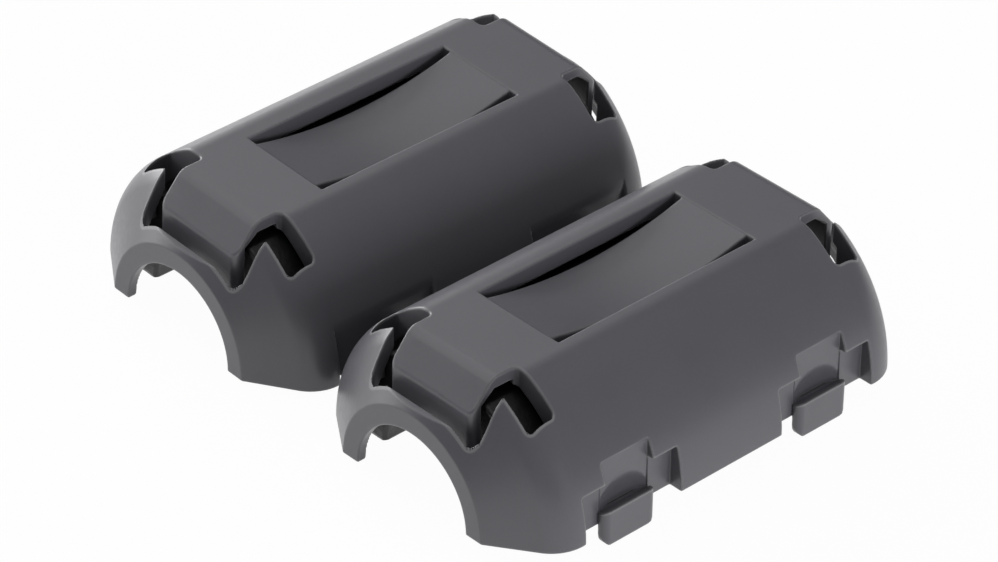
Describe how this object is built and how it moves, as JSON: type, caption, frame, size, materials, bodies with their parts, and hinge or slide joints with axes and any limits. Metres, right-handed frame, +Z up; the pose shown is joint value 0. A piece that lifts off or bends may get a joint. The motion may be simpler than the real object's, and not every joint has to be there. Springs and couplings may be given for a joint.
{
  "type": "clip-on ferrite bead",
  "caption": "Hinged two-half plastic snap case holding a split ferrite core around a cable, lying open with the outer faces up.",
  "frame": {"origin": "on the bore axis of the catch half, on its split plane, midway along the case", "axes": "+X along the cable bore, +Y from the hinge towards the catch side, +Z up towards the flat top"},
  "size_m": [0.035, 0.0444, 0.0109],
  "materials": {
    "case_plastic": "satin moulded charcoal grey",
    "ferrite": "ground sintered dark grey"
  },
  "bodies": {
    "catch_half": {"catch_case": "case_plastic", "catch_core": "ferrite"},
    "latch_half": {"latch_case": "case_plastic", "latch_core": "ferrite"}
  },
  "joints": [
    {"name": "film_hinge", "type": "hinge", "parent": "catch_half", "child": "latch_half", "pos_m": [0, -0.01137, 0], "axis": [1, 0, 0], "range_deg": [0, 183.05]}
  ]
}
